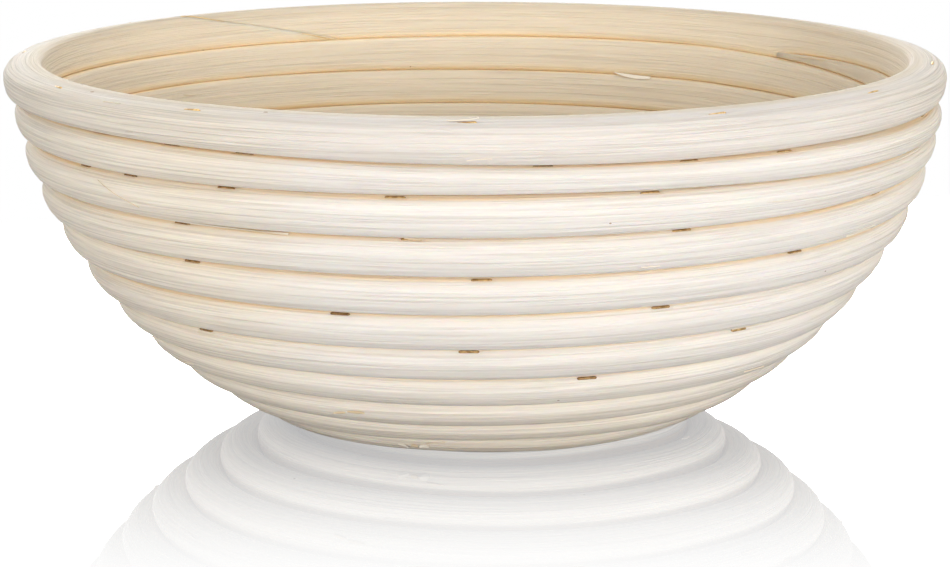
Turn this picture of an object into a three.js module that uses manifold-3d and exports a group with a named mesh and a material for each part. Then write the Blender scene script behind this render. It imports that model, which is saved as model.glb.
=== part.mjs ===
// A round proofing basket: cane wound in one spiral from the middle of the base up to a level rim,
// with each turn stapled to the turn below it.
// Millimetres, Z up. The origin is under the middle of the rim, on the surface that the basket stands on.
// Angles are degrees round the basket, counterclockwise seen from above, from the +X axis.
import * as THREE from 'three';
import { mergeVertices } from 'three/addons/utils/BufferGeometryUtils.js';
import Module from 'manifold-3d';

// Overall shape
const RIM_DIAMETER = 250;
const BASKET_HEIGHT = 97.3;
const BASE_FLAT_RADIUS = 47;
const TOE_RADIUS = 12;
const WALL_RADIUS = 113.5;

// Cane: its width is measured from turn to turn, its depth through the wall
const CANE_WIDTH = 10.7;
const CANE_DEPTH = 12.3;
const RIM_CANE = 10.6;
const TURN_GAP = 0.6;
const BASE_CUT = 1.2;

// Share of its depth that the cane keeps where it tapers away to nothing
const TAPERED_DEPTH = 0.55;

// Winding: most of the rise is even, and the rest is a step that ends below the tapered tip
const EYE_RADIUS = 9.5;
const TIP_ANGLE = 55;
const TIP_CUT_ANGLE = 15;
const STEP_ANGLE = 100;
const STEP_SHARE = 0.36;

// The cane is thinner in the upper wall than in the lower, so the seams between them lie higher:
// most at this many turns below the rim, fading out over the span on each side, in turns
const SEAM_RISE = { turns: 3.2, span: 2.9, rise: 1 };

// The coil sits a little to one side of the rim, along X, and leans further that way towards its base
const COIL_ASIDE = 1.1;
const COIL_LEAN = 1.15;

// Where cane is pressed thinner: the turn below the tip, and the underside of the rim in two places
const TIP_PRESS = { angle: 345, span: 70, depth: 2.6 };
const RIM_PRESSES = [
  { angle: 215, span: 80, depth: 2 },
  { angle: 20, span: 35, depth: 1.1 },
];

// Slanted ends where one length of cane follows another, and the scarf that closes the rim
const JOINT_GAP = 0.35;
const SPLICE_SLANT = 4;
const SPLICES = [
  { turn: 10, angle: 66 },
  { turn: 7, angle: 98 },
  { turn: 4, angle: 120 },
];
const SCARF_ANGLE = 124;
const SCARF_SLANT = 14;

// Staples: each is driven through one turn and into the turn below, in a slot of its own
const STAPLE_CROWN = 5.2;
const STAPLE_LEG = 15;
const STAPLE_WIRE = 1;
const STAPLE_CLEARANCE = 0.3;
const STAPLE_SINK = 0.1;
const SLOT_OPENING = 0.8;

// Where a crown sits, in degrees from the top of its cane towards the outside of the basket.
// On a turn it is further out the more the wall leans.
const RIM_SEAT = 8;
const TURN_SEAT = 5;
const LEAN_SHARE = 0.5;

// Where the staples are: round the rim, then on each turn below it
const RIM_STAPLE_ANGLES = [211, 236.3, 269, 298, 324, 352, 25, 62, 98, 146, 178];
const TURN_STAPLE_ANGLES = [
  [219.8, 232.2, 242.4, 277, 294.3, 307.5, 342, 80, 119, 158],
  [214, 223.8, 239.2, 260.3, 289.6, 67, 105, 143],
  [231, 261.8, 294.4, 328.6, 39, 148],
  [230.3, 270, 313.7, 86],
  [251.1, 294.1, 21, 150],
  [225.3, 268.1, 309.9, 80],
  [286.3, 330, 55, 141],
  [75, 165],
  [140],
  [20],
];

// Facets in one turn, and the least part of a step that is left beside an end
const TURN_STEPS = 24;
const RIM_STEPS = 36;
const END_STEP_PART = 0.1;

const FULL_TURN = 360;
const { degToRad, radToDeg, euclideanModulo } = THREE.MathUtils;

// The line of cane centres in section: a flat base, a small toe arc, and the wall's arc up to the rim
const pitch = CANE_WIDTH + TURN_GAP;
const baseLevel = CANE_DEPTH / 2 - BASE_CUT;
const toeCentre = new THREE.Vector2(BASE_FLAT_RADIUS, baseLevel + TOE_RADIUS);
const rimCentre = new THREE.Vector2((RIM_DIAMETER - RIM_CANE) / 2, BASKET_HEIGHT - RIM_CANE / 2);
const wallCentre = findWallCentre();
const toeSlope = slopeFromWallCentre(toeCentre);
const rimSlope = slopeFromWallCentre(rimCentre);
const flatLength = BASE_FLAT_RADIUS - EYE_RADIUS;
const toeLength = TOE_RADIUS * toeSlope;
const wallLength = WALL_RADIUS * (rimSlope - toeSlope);
const rimPlace = flatLength + toeLength + wallLength;
const rimUnderside = rimPlace - (RIM_CANE + TURN_GAP) / 2;

// The wall's arc runs through the rim's centre and touches the toe's arc, which lies inside it
function findWallCentre() {
  const across = rimCentre.clone().sub(toeCentre);
  const span = across.length();
  const reach = WALL_RADIUS - TOE_RADIUS;
  const along = (reach ** 2 - WALL_RADIUS ** 2 + span ** 2) / (2 * span);
  const aside = Math.sqrt(reach ** 2 - along ** 2);
  across.normalize();
  const x = toeCentre.x + across.x * along - across.y * aside;
  const y = toeCentre.y + across.y * along + across.x * aside;
  return new THREE.Vector2(x, y);
}

function slopeFromWallCentre(point) {
  return Math.atan2(point.x - wallCentre.x, wallCentre.y - point.y);
}

// A place is a length along that line, from the eye of the spiral outwards and up
function profileAt(place) {
  if (place <= flatLength) {
    return { radius: EYE_RADIUS + place, height: baseLevel, slope: 0 };
  }
  if (place <= flatLength + toeLength) {
    const slope = (place - flatLength) / TOE_RADIUS;
    const radius = toeCentre.x + TOE_RADIUS * Math.sin(slope);
    const height = toeCentre.y - TOE_RADIUS * Math.cos(slope);
    return { radius, height, slope };
  }
  const slope = toeSlope + (place - flatLength - toeLength) / WALL_RADIUS;
  const radius = wallCentre.x + WALL_RADIUS * Math.sin(slope);
  const height = wallCentre.y - WALL_RADIUS * Math.cos(slope);
  return { radius, height, slope };
}

// Turns climbed at a winding angle: 0 where the tip runs out, and less further down the coil
const stepPart = STEP_ANGLE / FULL_TURN;
const evenRise = (1 - STEP_SHARE) * (1 - stepPart);

function climbAt(angle) {
  const turns = (angle - TIP_ANGLE) / FULL_TURN;
  const whole = Math.floor(turns);
  const part = turns - whole;
  const step = Math.max(0, (part - 1 + stepPart) / stepPart);
  return whole + (1 - STEP_SHARE) * part + STEP_SHARE * step;
}

function angleOfClimb(climb) {
  const whole = Math.floor(climb);
  const rest = climb - whole;
  const steepRate = (1 - evenRise) / stepPart;
  const part = rest < evenRise ? rest / (1 - STEP_SHARE) : 1 - stepPart + (rest - evenRise) / steepRate;
  return TIP_ANGLE + FULL_TURN * (whole + part);
}

// The winding angle of a turn, counted down from 1 under the rim, at an angle round the basket
function windingAngle(turn, angle) {
  return TIP_ANGLE - FULL_TURN * turn + euclideanModulo(angle - TIP_ANGLE, FULL_TURN);
}

// A smooth bump, whole in its middle and nothing from its span on
function bumpAt(away, span) {
  const share = Math.min(1, Math.abs(away) / span);
  return Math.cos(share * Math.PI / 2) ** 2;
}

// The place of the seam between two turns, where so many turns have been climbed
function seamPlace(climb) {
  return rimUnderside + pitch * climb + SEAM_RISE.rise * bumpAt(climb + SEAM_RISE.turns, SEAM_RISE.span);
}

function pressAt(angle, press) {
  const away = euclideanModulo(angle - press.angle + FULL_TURN / 2, FULL_TURN) - FULL_TURN / 2;
  return press.depth * bumpAt(away, press.span);
}

function rimPressAt(angle) {
  return RIM_PRESSES.reduce((total, press) => total + pressAt(angle, press), 0);
}

// The cane's section at a winding angle: full size, except where the last turn tapers under the rim
function coilSection(angle) {
  const climb = climbAt(angle);
  let top = seamPlace(climb + 1);
  let bottom = seamPlace(climb);
  if (angle > windingAngle(1, TIP_ANGLE)) {
    top = rimUnderside + rimPressAt(angle);
    bottom -= pressAt(angle, TIP_PRESS);
  } else if (angle > windingAngle(2, TIP_ANGLE)) {
    top -= pressAt(angle, TIP_PRESS);
  }
  const place = (top + bottom) / 2;
  const drop = rimCentre.y - profileAt(place).height;
  const aside = COIL_ASIDE + COIL_LEAN * drop / rimCentre.y;
  const fullness = Math.min(1, (top - bottom) / pitch);
  const halfDepth = CANE_DEPTH / 2 * (TAPERED_DEPTH + (1 - TAPERED_DEPTH) * fullness);
  return { place, halfWidth: (top - bottom - TURN_GAP) / 2, halfDepth, aside };
}

function rimSection(angle) {
  const halfPress = rimPressAt(angle) / 2;
  const halfWidth = RIM_CANE / 2 - halfPress;
  return { place: rimPlace + halfPress, halfWidth, halfDepth: RIM_CANE / 2, aside: 0 };
}

// A point of a section: across is -1 to 1 down or up the wall, out is -1 to 1 inside or outside it
function sectionPoint(angle, section, across, out) {
  const { radius, height, slope } = profileAt(section.place);
  const up = across * section.halfWidth;
  const outward = out * section.halfDepth;
  const reach = radius + up * Math.cos(slope) + outward * Math.sin(slope);
  const level = height + up * Math.sin(slope) - outward * Math.cos(slope);
  const turned = degToRad(angle);
  return new THREE.Vector3(section.aside + reach * Math.cos(turned), reach * Math.sin(turned), level);
}

// The cane's round section has eight corners
const SECTION_SIDES = 8;
const SECTION_CORNERS = Array.from({ length: SECTION_SIDES }, (_, index) => {
  const turned = index * 2 * Math.PI / SECTION_SIDES;
  return [Math.cos(turned), Math.sin(turned)];
});

function ringAt(angle, slant, sectionAt) {
  const points = SECTION_CORNERS.map(([across, out]) => {
    const cornerAngle = angle + slant * across;
    return sectionPoint(cornerAngle, sectionAt(cornerAngle), across, out);
  });
  return { angle, points };
}

// Rings of a length of coil: its two ends, and between them the same angles on every turn
function coilRings(start, end) {
  const stepAngle = FULL_TURN / TURN_STEPS;
  const rings = [ringAt(start.angle, start.slant, coilSection)];
  const firstStep = Math.ceil((start.angle + start.slant) / stepAngle + END_STEP_PART);
  const lastStep = Math.floor((end.angle - end.slant) / stepAngle - END_STEP_PART);
  for (let step = firstStep; step <= lastStep; step += 1) {
    rings.push(ringAt(step * stepAngle, 0, coilSection));
  }
  rings.push(ringAt(end.angle, end.slant, coilSection));
  return rings;
}

function rimRings(start, end) {
  const stepAngle = (end.angle - start.angle) / RIM_STEPS;
  const rings = [];
  for (let step = 0; step <= RIM_STEPS; step += 1) {
    rings.push(ringAt(start.angle + step * stepAngle, start.slant, rimSection));
  }
  return rings;
}

// One unbroken tube through the rings, closed at both ends, its sides split along their shorter diagonals
function tubeGeometry(rings) {
  const points = rings.flatMap((ring) => ring.points);
  const faces = [];
  for (let ring = 0; ring < rings.length - 1; ring += 1) {
    for (let side = 0; side < SECTION_SIDES; side += 1) {
      const here = ring * SECTION_SIDES + side;
      const beside = ring * SECTION_SIDES + (side + 1) % SECTION_SIDES;
      const ahead = here + SECTION_SIDES;
      const besideAhead = beside + SECTION_SIDES;
      if (points[beside].distanceTo(points[ahead]) < points[here].distanceTo(points[besideAhead])) {
        faces.push(here, beside, ahead, beside, besideAhead, ahead);
      } else {
        faces.push(here, beside, besideAhead, here, besideAhead, ahead);
      }
    }
  }
  const last = (rings.length - 1) * SECTION_SIDES;
  for (let side = 1; side < SECTION_SIDES - 1; side += 1) {
    faces.push(0, side + 1, side);
    faces.push(last, last + side, last + side + 1);
  }
  const geometry = new THREE.BufferGeometry();
  geometry.setFromPoints(points);
  geometry.setIndex(faces);
  return geometry;
}

// Half the angle between two slanted ends that leave the joint's gap between them
function halfJointAngle(angle, slant, sectionAt) {
  const section = sectionAt(angle);
  const { radius } = profileAt(section.place);
  const slantLength = radius * degToRad(slant);
  const gapAlong = JOINT_GAP * Math.hypot(slantLength, section.halfWidth) / section.halfWidth;
  return radToDeg(gapAlong / 2 / radius);
}

function jointEnds(angle, slant, sectionAt) {
  const half = halfJointAngle(angle, slant, sectionAt);
  return { before: { angle: angle - half, slant }, after: { angle: angle + half, slant } };
}

// The lengths of cane
const eyeAngle = angleOfClimb(-rimUnderside / pitch - 1 / 2);
const eye = { angle: eyeAngle, slant: 0 };
const tip = { angle: TIP_ANGLE - TIP_CUT_ANGLE, slant: 0 };
const [baseSplice, lowerSplice, upperSplice] = SPLICES.map(({ turn, angle }) => {
  return jointEnds(windingAngle(turn, angle), SPLICE_SLANT, coilSection);
});
const scarf = jointEnds(SCARF_ANGLE, SCARF_SLANT, rimSection);
const rimEnd = { angle: scarf.before.angle + FULL_TURN, slant: SCARF_SLANT };
const coilLengths = {
  base_coil: coilRings(eye, baseSplice.before),
  lower_wall_coil: coilRings(baseSplice.after, lowerSplice.before),
  middle_wall_coil: coilRings(lowerSplice.after, upperSplice.before),
  upper_wall_coil: coilRings(upperSplice.after, tip),
};
const caneRings = { ...coilLengths, rim_ring: rimRings(scarf.after, rimEnd) };

// The least gap between one turn of the coil and the next, measured on the points of the rings
const coil = Object.values(coilLengths).flat();
console.log(`Least gap between turns of the coil: ${leastGap(coil).toFixed(2)} mm`);

function leastGap(rings) {
  const searchAngle = FULL_TURN / 4;
  let least = Infinity;
  for (const lower of rings) {
    for (const upper of rings) {
      const pastOneTurn = upper.angle - lower.angle - FULL_TURN;
      if (Math.abs(pastOneTurn) < searchAngle) {
        for (const point of lower.points) {
          const gaps = upper.points.map((other) => other.distanceTo(point));
          least = Math.min(least, ...gaps);
        }
      }
    }
  }
  return least;
}

// A staple's outline, with its crown's top at the origin and its legs down; the slot is a little larger
function stapleGeometry(clearance, opening) {
  const outer = STAPLE_CROWN / 2 + clearance;
  const inner = STAPLE_CROWN / 2 - STAPLE_WIRE - clearance;
  const crownUnderside = -STAPLE_WIRE - clearance;
  const legEnd = -STAPLE_LEG - clearance;
  const legShoulder = legEnd + STAPLE_WIRE;
  const outline = new THREE.Shape();
  outline.moveTo(-outer, opening);
  outline.lineTo(-outer, legShoulder);
  outline.lineTo(-inner, legEnd);
  outline.lineTo(-inner, crownUnderside);
  outline.lineTo(inner, crownUnderside);
  outline.lineTo(inner, legEnd);
  outline.lineTo(outer, legShoulder);
  outline.lineTo(outer, opening);
  outline.closePath();
  const thickness = STAPLE_WIRE + 2 * clearance;
  const geometry = new THREE.ExtrudeGeometry(outline, { depth: thickness, bevelEnabled: false });
  geometry.translate(0, 0, -thickness / 2);
  return geometry;
}

// A staple's crown lies along the cane, and its legs point at the middle of the turn below
function staplePlacement(angle, seat, aim) {
  const turned = degToRad(angle);
  const tangent = new THREE.Vector3(-Math.sin(turned), Math.cos(turned), 0);
  const up = seat.clone().sub(aim).normalize();
  const aside = tangent.cross(up).normalize();
  const along = up.clone().cross(aside);
  const placement = new THREE.Matrix4().makeBasis(along, up, aside);
  placement.setPosition(seat.clone().addScaledVector(up, -STAPLE_SINK));
  return placement;
}

function seatPoint(angle, section, seatAngle) {
  const turned = degToRad(seatAngle);
  return sectionPoint(angle, section, Math.cos(turned), Math.sin(turned));
}

const staples = [];

RIM_STAPLE_ANGLES.forEach((angle, index) => {
  const seat = seatPoint(angle, rimSection(angle), RIM_SEAT);
  const aim = sectionPoint(angle, coilSection(windingAngle(1, angle)), 0, 0);
  staples.push({ name: nodeName('rim_staple', index), placement: staplePlacement(angle, seat, aim) });
});

TURN_STAPLE_ANGLES.forEach((angles, row) => {
  angles.forEach((angle, index) => {
    const section = coilSection(windingAngle(row + 1, angle));
    const lean = FULL_TURN / 4 - radToDeg(profileAt(section.place).slope);
    const seat = seatPoint(angle, section, TURN_SEAT + LEAN_SHARE * lean);
    const aim = sectionPoint(angle, coilSection(windingAngle(row + 2, angle)), 0, 0);
    const name = nodeName(`turn_${row + 1}_staple`, index);
    staples.push({ name, placement: staplePlacement(angle, seat, aim) });
  });
});

function nodeName(stem, index) {
  return `${stem}_${String(index + 1).padStart(2, '0')}`;
}

// Solids for cutting the slots
const wasm = await Module();
wasm.setup();

function toSolid(geometry) {
  const bare = geometry.clone();
  bare.deleteAttribute('normal');
  bare.deleteAttribute('uv');
  const merged = mergeVertices(bare);
  const vertProperties = new Float32Array(merged.attributes.position.array);
  const triVerts = new Uint32Array(merged.index.array);
  return new wasm.Manifold(new wasm.Mesh({ numProp: 3, vertProperties, triVerts }));
}

function toGeometry(solid) {
  const { vertProperties, triVerts } = solid.getMesh();
  const geometry = new THREE.BufferGeometry();
  geometry.setAttribute('position', new THREE.Float32BufferAttribute(vertProperties, 3));
  geometry.setIndex(new THREE.Uint32BufferAttribute(triVerts, 1));
  geometry.computeVertexNormals();
  return geometry;
}

// The underside of the base is cut flat, level with the surface that it stands on
function cutCane(geometry, slots) {
  geometry.computeBoundingBox();
  let solid = toSolid(geometry);
  if (geometry.boundingBox.min.z < 0) {
    solid = solid.subtract(toSolid(belowBase));
  }
  for (const slot of slots) {
    if (slot.boundingBox.intersectsBox(geometry.boundingBox)) {
      solid = solid.subtract(toSolid(slot));
    }
  }
  return toGeometry(solid);
}

// Assembly
const caneMaterial = new THREE.MeshStandardMaterial({ color: 0xe6dac2, roughness: 0.62, metalness: 0 });
const rimMaterial = new THREE.MeshStandardMaterial({ color: 0xeadfca, roughness: 0.6, metalness: 0 });
const stapleMaterial = new THREE.MeshStandardMaterial({ color: 0xa5895c, roughness: 0.38, metalness: 0.9 });

const basket = new THREE.Group();
const slots = staples.map(({ placement }) => {
  const slot = stapleGeometry(STAPLE_CLEARANCE, SLOT_OPENING).applyMatrix4(placement);
  slot.computeBoundingBox();
  return slot;
});

const belowBase = new THREE.BoxGeometry(RIM_DIAMETER, RIM_DIAMETER, CANE_DEPTH);
belowBase.translate(0, 0, -CANE_DEPTH / 2);

for (const [name, rings] of Object.entries(caneRings)) {
  const material = name === 'rim_ring' ? rimMaterial : caneMaterial;
  const cane = new THREE.Mesh(cutCane(tubeGeometry(rings), slots), material);
  cane.name = name;
  basket.add(cane);
}

const stapleShape = stapleGeometry(0, 0);
for (const { name, placement } of staples) {
  const staple = new THREE.Mesh(stapleShape, stapleMaterial);
  staple.name = name;
  staple.applyMatrix4(placement);
  basket.add(staple);
}

export default basket;
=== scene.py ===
import math
import random

import bpy
from mathutils import Matrix, Vector


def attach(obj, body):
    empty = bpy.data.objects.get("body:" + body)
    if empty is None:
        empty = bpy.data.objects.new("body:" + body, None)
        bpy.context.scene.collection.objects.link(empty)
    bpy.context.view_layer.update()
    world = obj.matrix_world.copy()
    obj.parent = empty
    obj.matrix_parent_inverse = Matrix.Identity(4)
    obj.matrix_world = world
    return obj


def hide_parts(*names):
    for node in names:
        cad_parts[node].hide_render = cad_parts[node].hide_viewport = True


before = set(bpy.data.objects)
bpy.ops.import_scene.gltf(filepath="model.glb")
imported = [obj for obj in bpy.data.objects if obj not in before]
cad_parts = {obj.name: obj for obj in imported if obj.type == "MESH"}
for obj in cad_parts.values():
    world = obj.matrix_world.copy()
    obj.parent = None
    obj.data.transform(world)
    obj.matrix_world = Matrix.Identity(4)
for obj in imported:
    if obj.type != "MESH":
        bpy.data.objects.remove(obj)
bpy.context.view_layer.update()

# The coil is peeled cane, steamed and wound in one spiral from the eye of the base up to the rim.
# It is made up of four lengths that meet in slanted splices at the back, and its last turn tapers to a wedge.
# Each turn rests on the one below. The base is cut flat underneath, and the staples sit in small hollows.
MM = 0.001
RIM_CENTRE = Vector((119.7 * MM, 92.0 * MM))
BASE_FLAT = 47 * MM
TOE_RADIUS = 12 * MM
WALL_RADIUS = 113.5 * MM
CANE_DEPTH = 12.3 * MM
RIM_CANE = 10.6 * MM
PITCH = 11.3 * MM
BASE_CUT = 1.2 * MM
EYE_RADIUS = 9.5 * MM
EYE_TAPER = 70
EYE_TIP = 0.12
STANDING_GAP = 0.02 * MM
TIP_ANGLE = 55
TIP_CUT = 15
STEP_ANGLE = 100
STEP_SHARE = 0.36
SEAM_RISE = (3.2, 2.9, 1.0 * MM)
COIL_ASIDE = 1.1 * MM
COIL_LEAN = 1.15 * MM
TAPERED_DEPTH = 0.55
TIP_PRESS = (345, 70, 2.6 * MM)
RIM_PRESSES = [(215, 80, 2.0 * MM), (20, 35, 1.1 * MM)]
RIM_GAP = 0.6 * MM
TOUCH_GAP = 0.03 * MM
COIL_WAVER = 0.4 * MM
COIL_SWELL = 0.022
SPLICES = [(10, 66), (7, 98), (4, 120)]
SPLICE_SLANT = 4
SPLICE_GAP = 0.03
SLANT_REACH = 14
SIDES = 48
RING_STEP = 2
TURN_SEAT = 8
LEAN_SHARE = 0.5
OUTER_ROUND = 2.4
UPPER_ROUND = 2.8
INNER_ROUND = 7
CROWN_HALF = 2.6 * MM
HOLLOW_DEPTH = 0.45 * MM
HOLLOW_EDGE = 0.5 * MM
HOLLOW_WIDTH = 9
HOLLOW_SIDE = 6
NEAR_CROWN = 8
# angles of the staples on each turn, from the turn under the rim down; then more of them, out of sight
TURN_STAPLES = [
    [219.8, 232.2, 242.4, 277, 294.3, 307.5, 342, 80, 119, 158],
    [214, 223.8, 239.2, 260.3, 289.6, 67, 105, 143],
    [231, 261.8, 294.4, 328.6, 39, 148],
    [230.3, 270, 313.7, 86],
    [251.1, 294.1, 21, 150],
    [225.3, 268.1, 309.9, 80],
    [286.3, 330, 55, 141],
    [75, 165],
    [140],
    [20],
]
HIDDEN_STAPLES = [
    [8, 93, 106, 132, 145, 171, 184],
    [12, 29, 86, 124, 162, 181],
    [5, 73, 107, 175],
    [0, 43, 150, 180],
    [64, 104, 180],
    [0, 37, 123, 166],
    [12, 184],
    [20, 120],
    [30, 100, 180],
    [110, 155],
    [60, 180, 300],
    [0, 120, 240],
]

base_level = CANE_DEPTH / 2 - BASE_CUT
toe_centre = Vector((BASE_FLAT, base_level + TOE_RADIUS))
chord = RIM_CENTRE - toe_centre
toe_reach = WALL_RADIUS - TOE_RADIUS
chord_part = (toe_reach ** 2 - WALL_RADIUS ** 2 + chord.length_squared) / (2 * chord.length)
chord_aside = math.sqrt(toe_reach ** 2 - chord_part ** 2)
chord_way = chord.normalized()
wall_centre = toe_centre + chord_way * chord_part + Vector((-chord_way.y, chord_way.x)) * chord_aside
toe_slope = math.atan2(toe_centre.x - wall_centre.x, wall_centre.y - toe_centre.y)
rim_slope = math.atan2(RIM_CENTRE.x - wall_centre.x, wall_centre.y - RIM_CENTRE.y)
flat_length = BASE_FLAT - EYE_RADIUS
toe_length = TOE_RADIUS * toe_slope
rim_place = flat_length + toe_length + WALL_RADIUS * (rim_slope - toe_slope)
rim_underside = rim_place - (RIM_CANE + RIM_GAP) / 2


def profile_at(place):
    """Radius, height and slope of the line of cane centres, at a length from the eye outwards and up."""
    if place <= flat_length:
        return EYE_RADIUS + place, base_level, 0.0
    if place <= flat_length + toe_length:
        slope = (place - flat_length) / TOE_RADIUS
        return toe_centre.x + TOE_RADIUS * math.sin(slope), toe_centre.y - TOE_RADIUS * math.cos(slope), slope
    slope = toe_slope + (place - flat_length - toe_length) / WALL_RADIUS
    return wall_centre.x + WALL_RADIUS * math.sin(slope), wall_centre.y - WALL_RADIUS * math.cos(slope), slope


def climb_at(angle):
    """Turns climbed at a winding angle: 0 where the tip would run out, and less further down the coil."""
    turns = (angle - TIP_ANGLE) / 360
    part = turns - math.floor(turns)
    step_part = STEP_ANGLE / 360
    step = max(0, (part - 1 + step_part) / step_part)
    return math.floor(turns) + (1 - STEP_SHARE) * part + STEP_SHARE * step


def winding_angle(turn, angle):
    """Winding angle of a turn, counted down from 1 under the rim, at an angle round the basket."""
    return TIP_ANGLE - 360 * turn + (angle - TIP_ANGLE) % 360


def bump_at(away, span):
    """A smooth bump, whole in its middle and nothing from its span on."""
    return math.cos(min(1, abs(away) / span) * math.pi / 2) ** 2


def seam_place(climb):
    """Place of the seam between two turns; thinner cane in the upper wall brings the middle ones higher."""
    turns, span, rise = SEAM_RISE
    return rim_underside + PITCH * climb + rise * bump_at(climb + turns, span)


def press_at(angle, press):
    """How much thinner the cane is at an angle; a press is its middle, half its span and its depth."""
    middle, span, depth = press
    return depth * bump_at((angle - middle + 180) % 360 - 180, span)


def rim_press_at(angle):
    """How much thinner the rim is at an angle, where the last turn is thicker."""
    return sum(press_at(angle, press) for press in RIM_PRESSES)


eye_angle = TIP_ANGLE
while climb_at(eye_angle) > -rim_underside / PITCH - 0.5:
    eye_angle -= 1
rng = random.Random(11)
waver_waves = [(rng.uniform(0.02, 0.11), rng.uniform(0, 6.28)) for _ in range(6)]
swell_waves = [(rng.uniform(0.02, 0.09), rng.uniform(0, 6.28)) for _ in range(5)]
flutes = [(rng.uniform(0.02, 0.07) * MM, rng.uniform(22, 70), rng.uniform(0, 6.28)) for _ in range(SIDES)]


def waves_at(waves, angle):
    """Slow, uneven waves along the winding, between -1 and 1."""
    return sum(math.sin(rate * angle + phase) for rate, phase in waves) / len(waves)


def coil_section(angle):
    """Place, half width up, half width down, half depth, shift through the wall and shift along X."""
    climb = climb_at(angle)
    top, bottom = seam_place(climb + 1), seam_place(climb)
    if angle > TIP_ANGLE - 360:
        top = rim_underside + rim_press_at(angle)
        bottom -= press_at(angle, TIP_PRESS)
    elif angle > TIP_ANGLE - 720:
        top -= press_at(angle, TIP_PRESS)
    from_eye = angle - eye_angle
    if from_eye < EYE_TAPER:
        bottom += (top - bottom) * (1 - EYE_TIP) * (1 - from_eye / EYE_TAPER)
    place, half = (top + bottom) / 2, (top - bottom) / 2 - TOUCH_GAP
    thin = TAPERED_DEPTH + (1 - TAPERED_DEPTH) * min(1, (top - bottom) / PITCH)
    spare = CANE_DEPTH / 4 * (1 - thin)
    depth = CANE_DEPTH / 2 * thin * (1 + COIL_SWELL * waves_at(swell_waves, angle)) + spare
    aside = COIL_ASIDE + COIL_LEAN * (1 - profile_at(place)[1] / RIM_CENTRE.y)
    return place, half, half, depth, COIL_WAVER * waves_at(waver_waves, angle) - spare, aside


def seat_at(section):
    """Where a staple's crown sits, in degrees from the top of the cane towards the outside."""
    return TURN_SEAT + LEAN_SHARE * (90 - math.degrees(profile_at(section[0])[2]))


def cane_point(angle, section, across, out):
    """A point of a section: across is 1 at the top of the cane, out is 1 at the outside of the basket."""
    place, half_up, half_down, half_depth, shift, aside = section
    radius, height, slope = profile_at(place)
    up = across * (half_up if across > 0 else half_down)
    outward = out * half_depth + shift
    reach = radius + up * math.cos(slope) + outward * math.sin(slope)
    level = max(height + up * math.sin(slope) - outward * math.cos(slope), STANDING_GAP)
    turned = math.radians(angle)
    return Vector((aside + reach * math.cos(turned), reach * math.sin(turned), level))


def smooth(value):
    """A step from 0 to 1 with rounded ends."""
    value = min(1, max(0, value))
    return value * value * (3 - 2 * value)


def rounded(tilt):
    """Across and out on the section's outline: flat inside the basket, round outside, fuller at the top."""
    across, out = math.cos(math.radians(tilt)), math.sin(math.radians(tilt))
    power = INNER_ROUND if out < 0 else UPPER_ROUND if across > 0 else OUTER_ROUND
    reach = (abs(across) ** power + abs(out) ** power) ** (-1 / power)
    return across * reach, out * reach


def cane_ring(angle, slant, section_at, seat, crowns, along):
    """One ring of a cane: its points, and for each the place in the cane that the grain is drawn from."""
    points = []
    for side in range(SIDES):
        across, out = rounded(seat + side * 360 / SIDES)
        size, rate, phase = flutes[side]
        own_angle = angle + slant * across
        section = section_at(own_angle)
        radius = profile_at(section[0])[0]
        off_seat = (side * 360 / SIDES + 180) % 360 - 180
        inward = size * (1 + math.sin(rate * along + phase))
        for crown in crowns:
            off_crown = abs(own_angle - crown) * math.pi / 180 * radius
            hollow = smooth((CROWN_HALF + HOLLOW_EDGE - off_crown) / HOLLOW_EDGE)
            inward += HOLLOW_DEPTH * hollow * smooth((HOLLOW_WIDTH - abs(off_seat)) / HOLLOW_SIDE)
        scale = 1 - inward / (CANE_DEPTH / 2)
        points.append((cane_point(own_angle, section, across * scale, out * scale), (across, out, along)))
    return points


def cane_mesh(name, rings):
    """A closed cane through its rings, with the grain's coordinates kept on its points."""
    points = [point for ring in rings for point, _ in ring]
    faces = [list(reversed(range(SIDES)))]
    for ring in range(len(rings) - 1):
        for side in range(SIDES):
            here, beside = ring * SIDES + side, ring * SIDES + (side + 1) % SIDES
            faces.append((here, beside, beside + SIDES, here + SIDES))
    faces.append([len(points) - SIDES + side for side in range(SIDES)])
    mesh = bpy.data.meshes.new(name)
    mesh.from_pydata(points, [], faces)
    mesh.polygons.foreach_set("use_smooth", [len(face) == 4 for face in faces])
    grain = mesh.attributes.new("grain", "FLOAT_VECTOR", "POINT")
    grain.data.foreach_set("vector", [value for ring in rings for _, place in ring for value in place])
    mesh.update()
    piece = bpy.data.objects.new(name, mesh)
    bpy.context.scene.collection.objects.link(piece)
    return piece


def spaced_angles(start, end, section_at, crowns):
    """Angles of the rings from one end to the other, closer together on each side of a staple's crown."""
    angles = {start, end}
    steps = math.ceil((end - start) / RING_STEP)
    angles.update(start + (end - start) * step / steps for step in range(steps))
    for crown in crowns:
        degree = 180 / math.pi / profile_at(section_at(crown)[0])[0]
        for offset in (0.8, 1.7, 2.4, 2.75, 3.1):
            angles.update((crown - offset * MM * degree, crown + offset * MM * degree))
    ordered = sorted(angle for angle in angles if start <= angle <= end)
    return [angle for angle, after in zip(ordered, ordered[1:] + [end + 1]) if after - angle > 0.03]


def add_node(tree, kind, sockets, **settings):
    """A new shader node; each of the sockets named is linked or set to a constant."""
    made = tree.nodes.new(kind)
    for key, value in settings.items():
        setattr(made, key, value)
    for key, value in sockets.items():
        if isinstance(value, bpy.types.NodeSocket):
            tree.links.new(value, made.inputs[key])
        else:
            made.inputs[key].default_value = value
    return made


def maths(tree, operation, first, second=0.0, third=0.0):
    return add_node(tree, "ShaderNodeMath", {0: first, 1: second, 2: third}, operation=operation).outputs[0]


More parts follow.
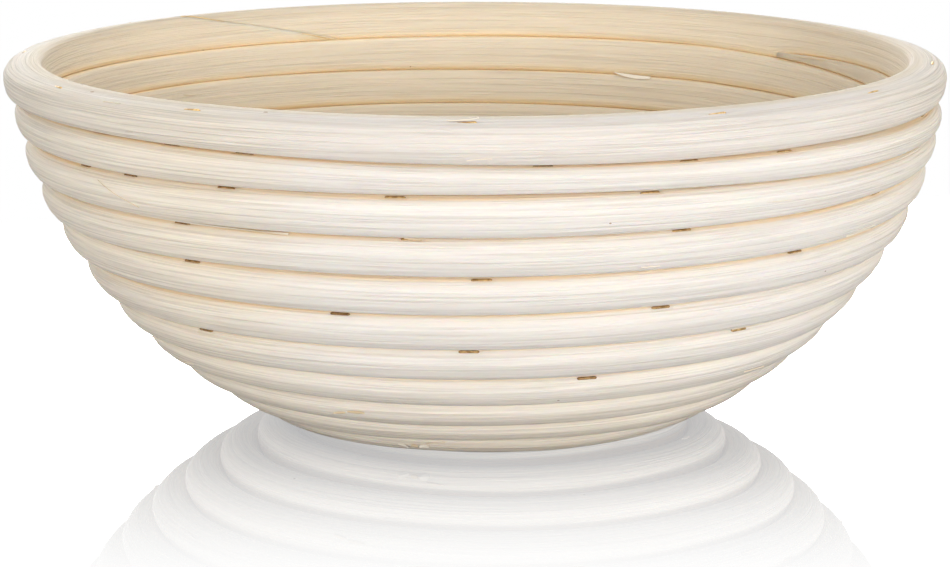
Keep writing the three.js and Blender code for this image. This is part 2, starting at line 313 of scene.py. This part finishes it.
def ramp(tree, value, low, high):
    """A smooth rise from 0 to 1 between two values."""
    return add_node(tree, "ShaderNodeMapRange", {"Value": value, "From Min": low, "From Max": high},
                    interpolation_type="SMOOTHSTEP").outputs[0]


def blend(tree, share, first, second):
    return add_node(tree, "ShaderNodeMix", {0: share, 6: first, 7: second}, data_type="RGBA").outputs[2]


def noise(tree, vector, stretch, detail, roughness):
    """Noise with its own scale across, out of and along the cane."""
    scaled = add_node(tree, "ShaderNodeVectorMath", {0: vector, 1: stretch}, operation="MULTIPLY").outputs[0]
    return add_node(tree, "ShaderNodeTexNoise", {"Vector": scaled, "Scale": 1.0, "Detail": detail,
                                                 "Roughness": roughness}).outputs["Fac"]


def new_group(name, inputs, outputs):
    """An empty node group with named sockets, and its input and output nodes."""
    tree = bpy.data.node_groups.new(name, "ShaderNodeTree")
    for label, kind in inputs:
        tree.interface.new_socket(label, in_out="INPUT", socket_type=kind)
    for label, kind in outputs:
        tree.interface.new_socket(label, in_out="OUTPUT", socket_type=kind)
    return tree, tree.nodes.new("NodeGroupInput"), tree.nodes.new("NodeGroupOutput")


# fibres of the cane: broad streaks, fine threads, a few dark lines between them, and the height of all
fibre_group, given, result = new_group(
    "Cane fibres", [("Grain", "NodeSocketVector")],
    [(label, "NodeSocketFloat") for label in ("Streak", "Thread", "Line", "Height")])
streak = noise(fibre_group, given.outputs["Grain"], (4.0, 4.0, 9.0), 3.0, 0.6)
thread = noise(fibre_group, given.outputs["Grain"], (9.0, 9.0, 12.0), 2.0, 0.55)
hair = noise(fibre_group, given.outputs["Grain"], (19.0, 19.0, 40.0), 3.0, 0.6)
lump = noise(fibre_group, given.outputs["Grain"], (5.0, 5.0, 130.0), 3.0, 0.6)
fine = maths(fibre_group, "MULTIPLY", ramp(fibre_group, hair, 0.38, 0.62), 0.5)
fine = maths(fibre_group, "MULTIPLY_ADD", ramp(fibre_group, thread, 0.4, 0.6), 0.5, fine)
line = maths(fibre_group, "MULTIPLY", ramp(fibre_group, thread, 0.47, 0.34),
             ramp(fibre_group, hair, 0.6, 0.42))
fibre_group.links.new(ramp(fibre_group, streak, 0.3, 0.7), result.inputs["Streak"])
fibre_group.links.new(fine, result.inputs["Thread"])
fibre_group.links.new(line, result.inputs["Line"])
height = maths(fibre_group, "MULTIPLY_ADD", line, -0.35, fine)
height = maths(fibre_group, "MULTIPLY_ADD", ramp(fibre_group, lump, 0.55, 0.75), 0.6, height)
fibre_group.links.new(height, result.inputs["Height"])

# stain where the turns touch, made brighter and warmer as painted glow against the shade of the grooves:
# outside mostly on top of a turn, inside along its lower edge
groove_stain_glow_group, given, result = new_group(
    "Groove stain and glow", [("Grain", "NodeSocketVector"), ("Top", "NodeSocketFloat")],
    [("Stain and glow", "NodeSocketFloat"), ("Seam", "NodeSocketFloat")])
place = add_node(groove_stain_glow_group, "ShaderNodeSeparateXYZ", {0: given.outputs["Grain"]}).outputs
above = maths(groove_stain_glow_group, "MULTIPLY", place[0], given.outputs["Top"])
below = maths(groove_stain_glow_group, "MULTIPLY", place[0], -1.0)
within = ramp(groove_stain_glow_group, place[1], -0.3, -0.6)
patchy = noise(groove_stain_glow_group, given.outputs["Grain"], (1.2, 1.2, 14.0), 3.0, 0.6)


def edge_mask(outside_top, outside_foot, inside_top, inside_foot):
    """A mask along the upper and lower edge of a turn; each pair is where it starts and where it is whole."""
    outside = maths(groove_stain_glow_group, "MAXIMUM", ramp(groove_stain_glow_group, above, *outside_top),
                    ramp(groove_stain_glow_group, below, *outside_foot))
    inside = maths(groove_stain_glow_group, "MAXIMUM", ramp(groove_stain_glow_group, above, *inside_top),
                   ramp(groove_stain_glow_group, below, *inside_foot))
    more_inside = maths(groove_stain_glow_group, "SUBTRACT", inside, outside)
    return maths(groove_stain_glow_group, "MULTIPLY_ADD", within, more_inside, outside)


stain_and_glow = edge_mask((0.7, 0.98), (0.93, 1.0), (0.75, 0.95), (0.4, 0.92))
stain_and_glow = maths(groove_stain_glow_group, "MULTIPLY", stain_and_glow, maths(groove_stain_glow_group, "MULTIPLY_ADD", patchy, 1.2, 0.3))
seam_and_glow = edge_mask((0.915, 0.96), (0.96, 0.99), (0.85, 0.95), (0.78, 0.95))
seam_and_glow = maths(groove_stain_glow_group, "MULTIPLY", seam_and_glow, ramp(groove_stain_glow_group, patchy, 0.25, 0.6))
groove_stain_glow_group.links.new(stain_and_glow, result.inputs["Stain and glow"])
groove_stain_glow_group.links.new(seam_and_glow, result.inputs["Seam"])

# small brown pin marks and pale scuffs, here and there along the cane
mark_group, given, result = new_group(
    "Pin marks", [("Grain", "NodeSocketVector")], [("Mark", "NodeSocketFloat"), ("Scuff", "NodeSocketFloat")])
spread = add_node(mark_group, "ShaderNodeVectorMath", {0: given.outputs["Grain"], 1: (0.6, 0.6, 75.0)},
                  operation="MULTIPLY").outputs[0]
cells = add_node(mark_group, "ShaderNodeTexVoronoi", {"Vector": spread, "Scale": 1.0})
chance = add_node(mark_group, "ShaderNodeSeparateColor", {0: cells.outputs["Color"]}).outputs
dot_size = maths(mark_group, "MULTIPLY", chance[1], 0.055)
dot = maths(mark_group, "LESS_THAN", cells.outputs["Distance"], dot_size)
mark = maths(mark_group, "MULTIPLY", dot, maths(mark_group, "GREATER_THAN", chance[0], 0.4))
scuff = noise(mark_group, given.outputs["Grain"], (1.6, 1.6, 22.0), 5.0, 0.7)
mark_group.links.new(mark, result.inputs["Mark"])
mark_group.links.new(ramp(mark_group, scuff, 0.6, 0.74), result.inputs["Scuff"])

# painted shade: the darker, warmer tan of the inside of the bowl
INSIDE_SHADE_TAN = (0.785, 0.68, 0.525, 1)
LINE_BROWN = (0.5, 0.41, 0.31, 1)
SCUFF_PALE = (0.93, 0.88, 0.8, 1)
# stain colours brighter than the cane: real stain with painted glow in the grooves' shade
STAIN_AND_GLOW_YELLOW = (0.97, 0.79, 0.53, 1)
SEAM_AND_GLOW_ORANGE = (0.95, 0.66, 0.34, 1)
MARK_BROWN = (0.34, 0.19, 0.08, 1)


def cane_material(name, warm, lit_front_colour, top_stain_and_glow, painted_top_shade, grain_depth):
    """Bare cane: warm; painted paler, with fainter grain and less stain, at the front where the lamps fall;
    painted darker and more tan inside the basket as shade; stained in the grooves, with painted glow.
    """
    material = bpy.data.materials.new(name)
    material.use_nodes = True
    tree = material.node_tree
    shader = tree.nodes["Principled BSDF"]
    grain = add_node(tree, "ShaderNodeAttribute", {}, attribute_name="grain").outputs["Vector"]
    fibres = add_node(tree, "ShaderNodeGroup", {}, node_tree=fibre_group)
    groove = add_node(tree, "ShaderNodeGroup", {}, node_tree=groove_stain_glow_group)
    marks = add_node(tree, "ShaderNodeGroup", {}, node_tree=mark_group)
    for group in (fibres, groove, marks):
        tree.links.new(grain, group.inputs["Grain"])
    groove.inputs["Top"].default_value = top_stain_and_glow
    spot = add_node(tree, "ShaderNodeNewGeometry", {}).outputs["Position"]
    spot = add_node(tree, "ShaderNodeSeparateXYZ", {0: spot}).outputs
    # painted light: the front of the basket, where the lamps fall, is blended towards a paler colour, with
    # fainter grain and less stain
    lit_front = maths(tree, "MULTIPLY", ramp(tree, spot["X"], -0.07, -0.03), ramp(tree, spot["X"], 0.14, 0.07))
    lit_front = maths(tree, "MULTIPLY", lit_front, ramp(tree, spot["Y"], -0.01, -0.05))
    lit_front = maths(tree, "MULTIPLY", lit_front, ramp(tree, spot["Z"], 0.0, 0.04))
    round_cane = add_node(tree, "ShaderNodeSeparateXYZ", {0: grain}).outputs
    # painted shade: the inside faces of the turns take a darker, warmer tan, for the shade and warm bounce
    # inside the bowl
    inner = ramp(tree, round_cane[1], 0.0, -0.6)
    colour = blend(tree, inner, blend(tree, lit_front, warm, lit_front_colour), INSIDE_SHADE_TAN)
    plainer = maths(tree, "MAXIMUM", lit_front, inner)
    depth = maths(tree, "MULTIPLY_ADD", plainer, -0.65 * grain_depth, grain_depth)
    shade = maths(tree, "MULTIPLY", maths(tree, "SUBTRACT", fibres.outputs["Thread"], 0.5), depth)
    shade = maths(tree, "ADD", maths(tree, "MULTIPLY_ADD", fibres.outputs["Streak"], -0.025, 1.0), shade)
    # painted shade: the top of the cane is darkened, on the rim only, where less light falls on it
    shade = maths(tree, "MULTIPLY_ADD", ramp(tree, round_cane[0], 0.1, 0.9), -painted_top_shade, shade)
    colour = add_node(tree, "ShaderNodeVectorMath", {0: colour, "Scale": shade}, operation="SCALE").outputs[0]
    colour = blend(tree, maths(tree, "MULTIPLY", fibres.outputs["Line"], 0.2), colour, LINE_BROWN)
    colour = blend(tree, maths(tree, "MULTIPLY", marks.outputs["Scuff"], 0.12), colour, SCUFF_PALE)
    # stain in the grooves, stronger inside and weaker at the lit front, brightened as painted glow where the
    # grooves are shaded
    strength = maths(tree, "MULTIPLY_ADD", inner, 0.4, maths(tree, "MULTIPLY_ADD", lit_front, -0.08, 0.22))
    stain_and_glow = maths(tree, "MULTIPLY", groove.outputs["Stain and glow"], strength)
    colour = blend(tree, stain_and_glow, colour, STAIN_AND_GLOW_YELLOW)
    colour = blend(tree, maths(tree, "MULTIPLY", groove.outputs["Seam"], 0.55), colour, SEAM_AND_GLOW_ORANGE)
    colour = blend(tree, maths(tree, "MULTIPLY", marks.outputs["Mark"], 0.8), colour, MARK_BROWN)
    tree.links.new(colour, shader.inputs["Base Color"])
    roughness = maths(tree, "MULTIPLY_ADD", fibres.outputs["Streak"], 0.14, 0.52)
    tree.links.new(roughness, shader.inputs["Roughness"])
    shader.inputs["Specular IOR Level"].default_value = 0.3
    shader.inputs["Subsurface Weight"].default_value = 0.3
    shader.inputs["Subsurface Radius"].default_value = (1.0, 0.55, 0.25)
    shader.inputs["Subsurface Scale"].default_value = 2 * MM
    bump = add_node(tree, "ShaderNodeBump", {"Height": fibres.outputs["Height"], "Strength": 0.9,
                                             "Distance": 0.13 * MM})
    tree.links.new(bump.outputs["Normal"], shader.inputs["Normal"])
    return material


coil_cane = cane_material("coil_cane", (0.89, 0.8, 0.675, 1), (0.9, 0.845, 0.78, 1),
                          top_stain_and_glow=1.0, painted_top_shade=0.0, grain_depth=0.2)

turn_staples = [seen + unseen for seen, unseen in zip(TURN_STAPLES + [[], []], HIDDEN_STAPLES)]
coil_crowns = [winding_angle(turn + 1, angle) for turn, row in enumerate(turn_staples) for angle in row]
splices = [winding_angle(turn, angle) for turn, angle in SPLICES]
coil_starts = [(eye_angle, 0)] + [(angle + SPLICE_GAP, SPLICE_SLANT) for angle in splices]
coil_ends = [(angle - SPLICE_GAP, SPLICE_SLANT) for angle in splices] + [(TIP_ANGLE - TIP_CUT, 0)]
coil_names = ["base_coil", "lower_wall_coil", "middle_wall_coil", "upper_wall_coil"]
for name, (start, start_slant), (end, end_slant) in zip(coil_names, coil_starts, coil_ends):
    rings = []
    along = rng.uniform(0, 3)
    before = start
    for angle in spaced_angles(start, end, coil_section, coil_crowns):
        slant_here = start_slant * (1 - (angle - start) / SLANT_REACH)
        slant = max(slant_here, end_slant * (1 - (end - angle) / SLANT_REACH), 0)
        along += math.radians(angle - before) * profile_at(coil_section(angle)[0])[0]
        before = angle
        crowns = [crown for crown in coil_crowns if abs(crown - angle) < NEAR_CROWN]
        rings.append(cane_ring(angle, slant, coil_section, seat_at(coil_section(angle)), crowns, along))
    cane = cane_mesh(name + "_cane", rings)
    cane.data.materials.append(coil_cane)
    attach(cane, "root")
    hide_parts(name)

# The rim is a separate, level ring of the same peeled cane that finishes the edge over the last turn.
# Its two ends are cut on a long slant and lie together as a scarf at the back left, a little out of line.
# Wire staples from its top hold it down on the coil.
RIM_SEAT = 8
SCARF_ANGLE = 124
SCARF_SLANT = 14
SCARF_GAP = -0.05
TIP_BLEND = 3
RIM_WAVER = 0.3 * MM
RIM_FOLLOW = 1.2 * MM * math.cos(rim_slope)
RIM_STAPLES = [211, 236.3, 269, 298, 324, 352, 25, 62, 98, 146, 178]


def rim_section(angle):
    """Section of the rim, whose underside lies on the coil and fills the space past the wedge's blunt tip."""
    half_down = (RIM_CANE + RIM_GAP) / 2 - rim_press_at(angle)
    half_down -= RIM_FOLLOW * math.cos(math.radians(angle))
    past_tip = angle % 360 - TIP_ANGLE + TIP_CUT
    if -TIP_BLEND <= past_tip <= TIP_CUT:
        below_place, below_half = coil_section(winding_angle(2, angle))[:2]
        half_down += (rim_place - below_place - below_half - half_down) * smooth(past_tip / TIP_BLEND + 1)
    shift = RIM_WAVER * waves_at(waver_waves, angle)
    return rim_place, RIM_CANE / 2, half_down - TOUCH_GAP, RIM_CANE / 2, shift, 0


# the rim's colours are darker and more tan than the coil's: painted shade and warm bounce on its up-facing
# top
rim_cane = cane_material("rim_cane", (0.83, 0.75, 0.64, 1), (0.85, 0.785, 0.715, 1),
                         top_stain_and_glow=0.0, painted_top_shade=0.12, grain_depth=0.24)
rim_start, rim_end = SCARF_ANGLE + SCARF_GAP, SCARF_ANGLE - SCARF_GAP + 360
rim_crowns = [angle + 360 * turn for angle in RIM_STAPLES for turn in (0, 1)]
rings = []
for angle in spaced_angles(rim_start, rim_end, rim_section, rim_crowns):
    crowns = [crown for crown in rim_crowns if abs(crown - angle) < NEAR_CROWN + SCARF_SLANT]
    along = math.radians(angle) * RIM_CENTRE.x
    rings.append(cane_ring(angle, SCARF_SLANT, rim_section, RIM_SEAT, crowns, along))
rim = cane_mesh("rim_ring_cane", rings)
rim.data.materials.append(rim_cane)
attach(rim, "root")
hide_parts("rim_ring")

# The staples are narrow-crown wire staples with a dull brassy coating, shot in along the grooves.
# Each goes through one turn into the middle of the turn below, and its crown is sunk level with the cane.
# The ones at the back and underneath can't be seen in the photograph, so their places are guesses.
STAPLE_LEG = 15 * MM
STAPLE_WIRE = 0.96 * MM
STAPLE_SINK = 0.02 * MM
STAPLE_BEND = 0.2 * MM
STAPLE_FLAT = 0.85
WIRE_SIDES = 8
WIRE_ROUNDING = 0.97
RIM_TONES = (0.7, 1)
DARKER_TONES = (0, 0.3)
MIXED_TONES = (0.2, 0.8)
DARKER_UP_TO = 255


def staple_points():
    """Centre line of a staple in its own plane, from the end of one leg over the crown to the other."""
    half, top = CROWN_HALF - STAPLE_WIRE / 2, -STAPLE_WIRE / 2
    left = [(-half, -STAPLE_LEG)]
    for angle in (180, 150, 120, 90):
        bend = math.radians(angle)
        left.append((STAPLE_BEND * (1 + math.cos(bend)) - half, STAPLE_BEND * (math.sin(bend) - 1) + top))
    return left + [(-x, y) for x, y in reversed(left)]


def staple_parts(placement):
    """Points and faces of one staple: an eight-sided wire, a little flattened, along the centre line."""
    line = staple_points()
    points, faces = [], []
    for index, (x, y) in enumerate(line):
        before, after = line[max(index - 1, 0)], line[min(index + 1, len(line) - 1)]
        way = Vector((after[0] - before[0], after[1] - before[1], 0)).normalized()
        side = Vector((-way.y, way.x, 0))
        for corner in range(WIRE_SIDES):
            turned = 2 * math.pi * (corner + 0.5) / WIRE_SIDES
            spread = STAPLE_WIRE / 2 / max(abs(math.cos(turned)), abs(math.sin(turned))) * WIRE_ROUNDING
            depth = Vector((0, 0, math.sin(turned) * spread * STAPLE_FLAT))
            points.append(placement @ (Vector((x, y, 0)) + side * math.cos(turned) * spread + depth))
    for index in range(len(line) - 1):
        for corner in range(WIRE_SIDES):
            here, beside = index * WIRE_SIDES + corner, index * WIRE_SIDES + (corner + 1) % WIRE_SIDES
            faces.append((here, here + WIRE_SIDES, beside + WIRE_SIDES, beside))
    faces.append(tuple(range(WIRE_SIDES)))
    faces.append(tuple(reversed(range(len(points) - WIRE_SIDES, len(points)))))
    return points, faces


def staple_placement(angle, seat, aim):
    """Where a staple goes: its crown on the seat along the cane, and its legs towards the turn below."""
    turned = math.radians(angle)
    up = (seat - aim).normalized()
    aside = Vector((-math.sin(turned), math.cos(turned), 0)).cross(up).normalized()
    along = up.cross(aside)
    return Matrix.Translation(seat - up * STAPLE_SINK) @ Matrix((along, up, aside)).transposed().to_4x4()


wire = bpy.data.materials.new("staple_wire")
wire.use_nodes = True
tree = wire.node_tree
shader = tree.nodes["Principled BSDF"]
position = add_node(tree, "ShaderNodeNewGeometry", {}).outputs["Position"]
tarnish = ramp(tree, noise(tree, position, (900.0, 900.0, 900.0), 3.0, 0.6), 0.35, 0.65)
brown = blend(tree, tarnish, (0.36, 0.2, 0.075, 1), (0.17, 0.085, 0.03, 1))
golden = blend(tree, tarnish, (0.78, 0.54, 0.24, 1), (0.5, 0.32, 0.12, 1))
tone = add_node(tree, "ShaderNodeAttribute", {}, attribute_name="tone").outputs["Fac"]
tree.links.new(blend(tree, tone, brown, golden), shader.inputs["Base Color"])
tree.links.new(maths(tree, "MULTIPLY_ADD", tarnish, 0.25, 0.35), shader.inputs["Roughness"])
shader.inputs["Metallic"].default_value = 0.5


def keep_tones(mesh, tones):
    """Keeps on each point how golden its piece is."""
    kept = mesh.attributes.new("tone", "FLOAT", "POINT")
    kept.data.foreach_set("value", tones)


rows = {"rim": [(angle, rim_section(angle), RIM_SEAT, coil_section(winding_angle(1, angle)))
                for angle in RIM_STAPLES]}
for turn, row in enumerate(turn_staples, 1):
    rows[f"turn_{turn}"] = []
    for angle in row:
        section, below = (coil_section(winding_angle(turn + lower, angle)) for lower in (0, 1))
        rows[f"turn_{turn}"].append((angle, section, seat_at(section), below))
for name, row in rows.items():
    points, faces, tones = [], [], []
    for angle, section, seat_angle, below in row:
        seat = cane_point(angle, section, *rounded(seat_angle))
        placement = staple_placement(angle, seat, cane_point(angle, below, 0, 0))
        new_points, new_faces = staple_parts(placement)
        raised = max(0, STANDING_GAP - min(point.z for point in new_points))
        new_points = [point + Vector((0, 0, raised)) for point in new_points]
        faces += [[index + len(points) for index in face] for face in new_faces]
        points += new_points
        tone_range = RIM_TONES if name == "rim" else DARKER_TONES if angle < DARKER_UP_TO else MIXED_TONES
        tones += [rng.uniform(*tone_range)] * len(new_points)
    mesh = bpy.data.meshes.new(name + "_staples")
    mesh.from_pydata(points, [], faces)
    keep_tones(mesh, tones)
    mesh.polygons.foreach_set("use_smooth", [len(face) == 4 for face in faces])
    mesh.materials.append(wire)
    staples = bpy.data.objects.new(name + "_staples", mesh)
    bpy.context.scene.collection.objects.link(staples)
    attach(staples, "root")
    nodes = [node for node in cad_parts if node.startswith(name + "_staple_")]
    if nodes:
        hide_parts(*nodes)

# Slivers of the same cane have lifted where it was bent, stapled and shaved, and some have torn away.
# Long ones lie on the lower flank of the second turn and at the scarf, short ones at staples and the foot.
# Each is a thin, pointed strip, still rooted in the cane at one end.
SLIVER_STEPS = 10
SLIVER_REACH = (0.12, 0.86)
SLIVER_FULLNESS = 0.7
SLIVER_RAISE = 0.08
SLIVER_RIDGE = 0.18
SLIVER_KEEL = 0.12
SMALL_SLIVERS = 60
# turn, or 0 for the rim; angle and tilt of the root and of the tip; width and lift in mm; how golden
TORN = [
    (0, (266.9, 2), (270.4, 6), 1.1, 0.9, 0.2),
    (2, (225.5, 128), (247, 150), 1.4, 0.25, 0.1),
    (2, (237.5, 140), (247, 149), 0.8, 0.5, 0.3),
    (2, (62.5, -47), (68.5, -43), 1.8, 0.4, 0.1),
    (2, (219, 48), (226.5, 100), 0.16, -0.03, 0.5),
    (10, (249.5, 60), (252, 66), 2.2, 0.5, 0),
    (10, (252.6, 64), (254.4, 62), 1.6, 0.2, 0.6),
    (10, (257, 66), (254.8, 60), 2.0, 0.5, 0),
    (8, (245, 66), (242.5, 70), 0.9, 0.3, 0.7),
    (8, (245.5, 62), (249, 58), 0.9, 0.3, 0.7),
    (0, (137.5, -40), (130, -66), 0.3, -0.08, 1),
    (0, (117, -117), (110.5, -140), 0.3, -0.08, 1),
    (3, (261, 20), (263.6, 24), 0.8, 0.5, 0.4),
    (1, (29, -60), (36, -70), 1.0, 0.4, 0.6),
]


def sliver_parts(turn, root, tip, width, lift):
    """Points, grain and faces of a strip on a turn, or on the rim for turn 0, lifting towards its tip."""
    points, grain, faces = [], [], []
    for step in range(SLIVER_STEPS + 1):
        part = step / SLIVER_STEPS
        angle, tilt = (first + (last - first) * part for first, last in zip(root, tip))
        section = coil_section(winding_angle(turn, angle)) if turn else rim_section(angle)
        swell = math.sin(math.pi * (SLIVER_REACH[0] + SLIVER_REACH[1] * part)) ** SLIVER_FULLNESS
        half = width / 2 * swell
        raised = SLIVER_RAISE + lift * part * part
        ridge, keel = raised + SLIVER_RIDGE, raised - SLIVER_KEEL
        for aside, above in ((-half, raised), (0, ridge), (half, raised), (0, keel)):
            across, out = rounded(tilt + math.degrees(aside * MM / (CANE_DEPTH / 2)))
            scale = 1 + above * MM / (CANE_DEPTH / 2)
            points.append(cane_point(angle, section, across * scale, out * scale))
            grain.append((across, out, math.radians(angle) * RIM_CENTRE.x))
    for step in range(SLIVER_STEPS):
        for side in range(4):
            here, beside = step * 4 + side, step * 4 + (side + 1) % 4
            faces.append((here, beside, beside + 4, here + 4))
    faces.append((3, 2, 1, 0))
    faces.append(tuple(SLIVER_STEPS * 4 + side for side in range(4)))
    return points, grain, faces


torn_cane = bpy.data.materials.new("torn_cane")
torn_cane.use_nodes = True
tree = torn_cane.node_tree
shader = tree.nodes["Principled BSDF"]
fibres = add_node(tree, "ShaderNodeGroup", {}, node_tree=fibre_group)
grain = add_node(tree, "ShaderNodeAttribute", {}, attribute_name="grain").outputs["Vector"]
tree.links.new(grain, fibres.inputs["Grain"])
tone = add_node(tree, "ShaderNodeAttribute", {}, attribute_name="tone").outputs["Fac"]
pale = blend(tree, fibres.outputs["Thread"], (0.84, 0.76, 0.62, 1), (0.9, 0.84, 0.74, 1))
golden = blend(tree, fibres.outputs["Thread"], (0.6, 0.4, 0.18, 1), (0.8, 0.6, 0.32, 1))
tree.links.new(blend(tree, tone, pale, golden), shader.inputs["Base Color"])
shader.inputs["Roughness"].default_value = 0.7

slivers = list(TORN)
for _ in range(SMALL_SLIVERS):
    turn = rng.randint(0, 10)
    start = rng.uniform(0, 360)
    reach = rng.choice((-1, 1)) * rng.uniform(2, 6)
    tilt = rng.choice((1, 1, -1)) * rng.uniform(25, 140)
    width, lift, tone = rng.uniform(0.2, 0.4), rng.uniform(0.02, 0.15), rng.uniform(0, 0.4)
    slivers.append((turn, (start, tilt), (start + reach, tilt + rng.uniform(-5, 5)), width, lift, tone))
points, grain, faces, tones = [], [], [], []
for *shape, tone in slivers:
    new_points, new_grain, new_faces = sliver_parts(*shape)
    faces += [[index + len(points) for index in face] for face in new_faces]
    points += new_points
    grain += new_grain
    tones += [tone] * len(new_points)
mesh = bpy.data.meshes.new("slivers")
mesh.from_pydata(points, [], faces)
kept = mesh.attributes.new("grain", "FLOAT_VECTOR", "POINT")
kept.data.foreach_set("vector", [value for place in grain for value in place])
keep_tones(mesh, tones)
mesh.materials.append(torn_cane)
torn = bpy.data.objects.new("slivers", mesh)
bpy.context.scene.collection.objects.link(torn)
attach(torn, "root")

# The stage is a glossy white sheet that mirrors the foot of the basket, greyed under it as a painted contact
# shadow, and fades to plain white in front.
# A wide, low lamp in front lights into the grooves; weaker lamps stand on both sides, above and behind.
FLOOR_SIDE = 8
MIRROR_SHARE = 0.48
MIRROR_FADE = (-0.185, -0.03)
CONTACT_REACH = 0.03
WORLD_LIGHT = 0.4
LAMP_AIM = Vector((0, 0, 0.05))
LAMPS = [
    ("key", (0.3, -2.0, 0.3), (1.6, 0.3), 22.3),
    ("left", (-1.5, -0.8, 0.5), (1.2, 0.7), 6),
    ("right", (1.5, -0.7, 0.5), (1.2, 0.7), 6.5),
    ("top", (0, -0.3, 1.7), (1.2, 1.2), 9),
    ("back", (-0.3, 1.9, 0.55), (1.6, 0.5), 15),
]
CAMERA_PLACE = (0, -863.68 * MM, 209.6 * MM)
CAMERA_DOWN = 0.2002
CAMERA_LENS = 123.03
CAMERA_SENSOR = 36

scene = bpy.context.scene
bpy.ops.mesh.primitive_plane_add(size=FLOOR_SIDE)
floor = bpy.context.object
floor.name = "floor"
sheet = bpy.data.materials.new("white_sheet")
sheet.use_nodes = True
tree = sheet.node_tree
tree.nodes.remove(tree.nodes["Principled BSDF"])
rays = add_node(tree, "ShaderNodeLightPath", {}).outputs
position = add_node(tree, "ShaderNodeNewGeometry", {}).outputs["Position"]
place = add_node(tree, "ShaderNodeSeparateXYZ", {0: position}).outputs
mirror_share = maths(tree, "MULTIPLY", ramp(tree, place["Y"], *MIRROR_FADE), MIRROR_SHARE)
# painted contact shadow: the white is greyed where the basket comes close over it
painted_contact_shadow = add_node(tree, "ShaderNodeAmbientOcclusion", {"Distance": CONTACT_REACH}, samples=16).outputs["AO"]
shaded = blend(tree, painted_contact_shadow, (0.9, 0.9, 0.91, 1), (1, 1, 1, 1))
white = add_node(tree, "ShaderNodeEmission", {"Color": shaded})
mirror = add_node(tree, "ShaderNodeBsdfGlossy", {"Color": (1, 1, 1, 1), "Roughness": 0.01})
seen = add_node(tree, "ShaderNodeMixShader", {0: mirror_share, 1: white.outputs[0], 2: mirror.outputs[0]})
plain = add_node(tree, "ShaderNodeBsdfDiffuse", {"Color": (0.55, 0.55, 0.55, 1)})
both = add_node(tree, "ShaderNodeMixShader",
                {0: rays["Is Camera Ray"], 1: plain.outputs[0], 2: seen.outputs[0]})
tree.links.new(both.outputs[0], tree.nodes["Material Output"].inputs["Surface"])
floor.data.materials.append(sheet)

world = bpy.data.worlds.new("studio")
scene.world = world
world.use_nodes = True
tree = world.node_tree
rays = add_node(tree, "ShaderNodeLightPath", {}).outputs
shown = maths(tree, "MAXIMUM", rays["Is Camera Ray"], rays["Is Glossy Ray"])
shown = maths(tree, "MAXIMUM", shown, rays["Is Transmission Ray"])
tree.nodes["Background"].inputs["Color"].default_value = (1, 1, 1, 1)
strength = maths(tree, "MULTIPLY_ADD", shown, 1 - WORLD_LIGHT, WORLD_LIGHT)
tree.links.new(strength, tree.nodes["Background"].inputs["Strength"])

for name, spot, (wide, tall), power in LAMPS:
    lamp = bpy.data.lights.new(name, "AREA")
    lamp.shape = "RECTANGLE"
    lamp.size, lamp.size_y = wide, tall
    lamp.energy = power
    light = bpy.data.objects.new(name, lamp)
    light.location = spot
    light.rotation_euler = (LAMP_AIM - Vector(spot)).to_track_quat("-Z", "Y").to_euler()
    scene.collection.objects.link(light)

camera = bpy.data.objects.new("camera", bpy.data.cameras.new("camera"))
camera.location = CAMERA_PLACE
camera.rotation_euler = (math.pi / 2 - CAMERA_DOWN, 0, 0)
camera.data.sensor_width = CAMERA_SENSOR
camera.data.lens = CAMERA_LENS
scene.collection.objects.link(camera)
scene.camera = camera
scene.view_settings.view_transform = "Standard"
